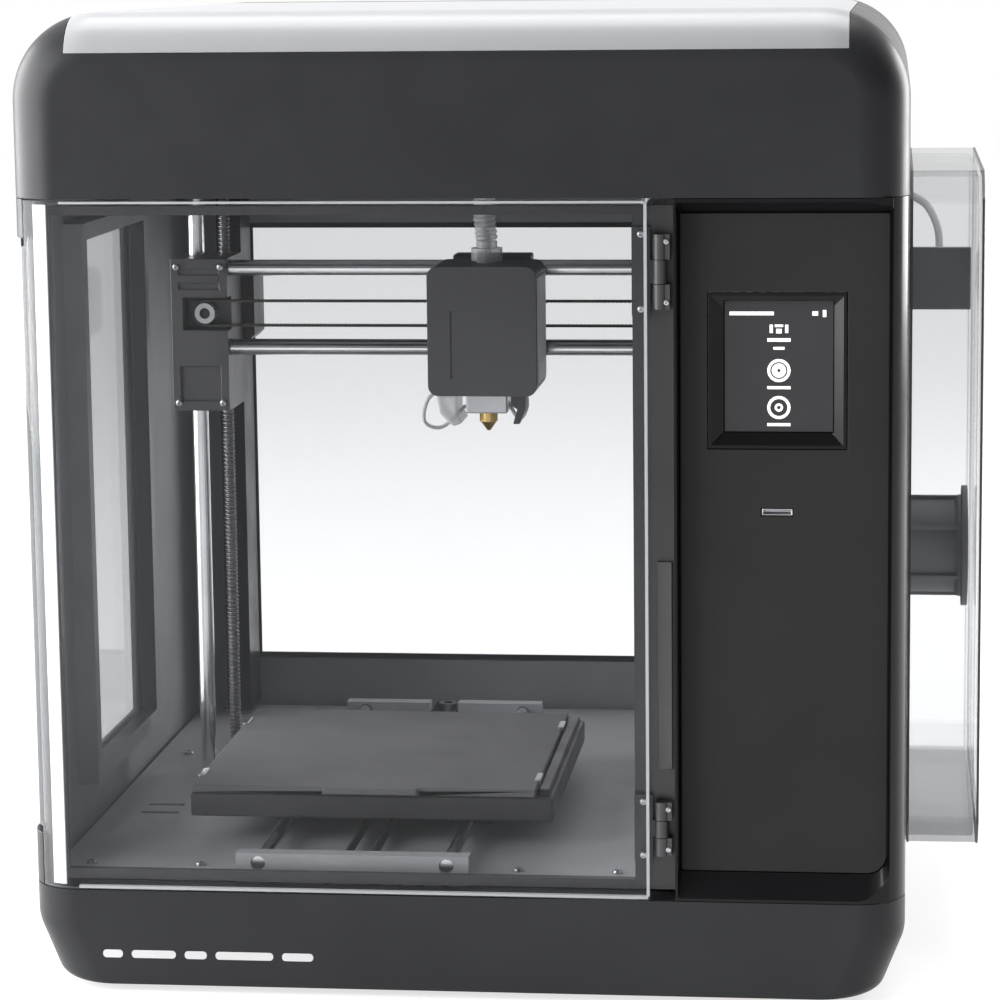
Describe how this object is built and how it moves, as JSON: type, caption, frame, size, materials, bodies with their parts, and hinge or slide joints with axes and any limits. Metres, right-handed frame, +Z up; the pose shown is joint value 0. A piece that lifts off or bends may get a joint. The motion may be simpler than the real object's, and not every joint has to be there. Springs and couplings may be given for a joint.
{
  "type": "enclosed desktop 3-d printer",
  "caption": "Enclosed desktop 3-D printer with a clear wrap-around door, lift-up lid, touch-screen column, moving bed, gantry and print head, and a covered spool bay at its side",
  "frame": {"origin": "on the resting plane, under the middle of the overall width and depth", "axes": "+Z up, -Y is the front with the door and touch screen, +X is the side with the spool cover"},
  "size_m": [0.423, 0.365, 0.433],
  "materials": {
    "housing_plastic": "satin moulded, fine texture",
    "gloss_black": "gloss",
    "chamber_plastic": "matt",
    "clear_acrylic": "clear, polished plastic sheet",
    "frosted_lid": "frosted translucent",
    "black_plastic": "satin moulded",
    "screen_glass": "gloss",
    "steel_rod": "ground and polished",
    "screw_steel": "rolled thread",
    "motor_case": "black",
    "aluminium": "satin",
    "brass": "turned",
    "belt_rubber": "matt",
    "build_surface": "fine textured sheet on spring steel",
    "circuit_board": "solder mask",
    "translucent_plastic": "milky translucent"
  },
  "bodies": {
    "root": {"base_housing": "housing_plastic", "chamber_floor": "chamber_plastic", "left_side_panel": "housing_plastic", "left_window": "clear_acrylic", "top_housing": "housing_plastic", "rear_panel": "housing_plastic", "rear_window": "clear_acrylic", "right_side_panel": "housing_plastic", "spool_bay_tray": "chamber_plastic", "partition_wall": "chamber_plastic", "door_frame": "black_plastic", "control_surround": "gloss_black", "control_panel": "housing_plastic", "screen_bezel": "gloss_black", "touch_screen": "screen_glass", "door_hinge_upper": "black_plastic", "door_hinge_lower": "black_plastic", "power_inlet": "black_plastic", "main_board": "circuit_board", "power_supply": "aluminium", "z_rod_left": "steel_rod", "z_rod_right": "steel_rod", "z_motor_left": "motor_case", "z_motor_right": "motor_case", "y_motor": "motor_case", "y_belt": "belt_rubber", "bed_rod_left": "steel_rod", "bed_rod_right": "steel_rod", "filament_guide": "black_plastic"},
    "door": {"door_panel": "clear_acrylic", "door_leaf_upper": "black_plastic", "door_leaf_lower": "black_plastic"},
    "lid": {"lid_panel": "frosted_lid"},
    "spool_cover": {"spool_cover": "clear_acrylic"},
    "spool_hub": {"spool_hub": "black_plastic"},
    "bed": {"bed_carriage": "black_plastic", "heated_bed": "black_plastic", "build_plate": "build_surface"},
    "gantry": {"gantry_left_block": "black_plastic", "gantry_right_block": "black_plastic", "x_rod_upper": "steel_rod", "x_rod_lower": "steel_rod", "x_belt": "belt_rubber", "x_motor": "motor_case"},
    "extruder": {"x_carriage": "black_plastic", "extruder_cover": "black_plastic", "extruder_body": "black_plastic", "heater_block": "aluminium", "nozzle": "brass", "fan_duct": "translucent_plastic", "tube_fitting": "translucent_plastic", "cable_sleeve": "translucent_plastic"},
    "x_drive_pulley": {"x_drive_pulley": "aluminium"},
    "x_idler_pulley": {"x_idler_pulley": "aluminium"},
    "y_drive_pulley": {"y_drive_pulley": "aluminium"},
    "lead_screw_left": {"lead_screw_left": "screw_steel"},
    "lead_screw_right": {"lead_screw_right": "screw_steel"},
    "fan_rotor": {"fan_rotor": "black_plastic"},
    "release_lever": {"release_lever": "black_plastic"},
    "power_switch": {"power_switch": "black_plastic"}
  },
  "joints": [
    {"name": "door_hinge", "type": "hinge", "parent": "root", "child": "door", "pos_m": [0.072, -0.1792, 0.2], "axis": [0, 0, 1], "range_deg": [0, 115]},
    {"name": "lid_hinge", "type": "hinge", "parent": "root", "child": "lid", "pos_m": [-0.016, 0.15015, 0.433], "axis": [1, 0, 0], "range_deg": [-100, 0]},
    {"name": "spool_cover_hinge", "type": "hinge", "parent": "root", "child": "spool_cover", "pos_m": [0.1795, 0.1035, 0.2], "axis": [0, 0, 1], "range_deg": [0, 85]},
    {"name": "spool_hub_spin", "type": "hinge", "parent": "root", "child": "spool_hub", "pos_m": [0.184, 0.001, 0.173], "axis": [1, 0, 0], "continuous": true},
    {"name": "bed_slide", "type": "slide", "parent": "root", "child": "bed", "axis": [0, 1, 0], "range_m": [-0.055, 0.09]},
    {"name": "gantry_lift", "type": "slide", "parent": "root", "child": "gantry", "axis": [0, 0, 1], "range_m": [-0.152, 0.003]},
    {"name": "extruder_slide", "type": "slide", "parent": "gantry", "child": "extruder", "axis": [1, 0, 0], "range_m": [-0.103, 0.041], "deforming": ["cable_sleeve"]},
    {"name": "x_drive_pulley_spin", "type": "hinge", "parent": "gantry", "child": "x_drive_pulley", "pos_m": [-0.165, 0.011, 0.2838], "axis": [0, 1, 0], "continuous": true},
    {"name": "x_idler_pulley_spin", "type": "hinge", "parent": "gantry", "child": "x_idler_pulley", "pos_m": [0.054, 0.011, 0.2838], "axis": [0, 1, 0], "continuous": true},
    {"name": "y_drive_pulley_spin", "type": "hinge", "parent": "root", "child": "y_drive_pulley", "pos_m": [-0.0675, 0.158, 0.0535], "axis": [0, 0, 1], "continuous": true},
    {"name": "lead_screw_left_spin", "type": "hinge", "parent": "root", "child": "lead_screw_left", "pos_m": [-0.1585, 0.028, 0.2], "axis": [0, 0, 1], "continuous": true},
    {"name": "lead_screw_right_spin", "type": "hinge", "parent": "root", "child": "lead_screw_right", "pos_m": [0.054, 0.036, 0.2], "axis": [0, 0, 1], "continuous": true},
    {"name": "fan_spin", "type": "hinge", "parent": "extruder", "child": "fan_rotor", "pos_m": [-0.0224, -0.031, 0.28], "axis": [0, 1, 0], "continuous": true},
    {"name": "release_lever_pivot", "type": "hinge", "parent": "extruder", "child": "release_lever", "pos_m": [-0.0074, -0.03, 0.2466], "axis": [0, 1, 0], "range_deg": [-12, 0], "stiffness_Nm_per_rad": 0.02},
    {"name": "power_switch_rocker", "type": "hinge", "parent": "root", "child": "power_switch", "pos_m": [0.129, 0.1745, 0.025], "axis": [1, 0, 0], "range_deg": [0, 6]}
  ],
  "couplings": [
    {"joint": "x_drive_pulley_spin", "follows": "extruder_slide", "rad_per_m": 200},
    {"joint": "x_idler_pulley_spin", "follows": "extruder_slide", "rad_per_m": 200},
    {"joint": "y_drive_pulley_spin", "follows": "bed_slide", "rad_per_m": 200},
    {"joint": "lead_screw_left_spin", "follows": "gantry_lift", "rad_per_m": 785.4},
    {"joint": "lead_screw_right_spin", "follows": "gantry_lift", "rad_per_m": 785.4}
  ]
}
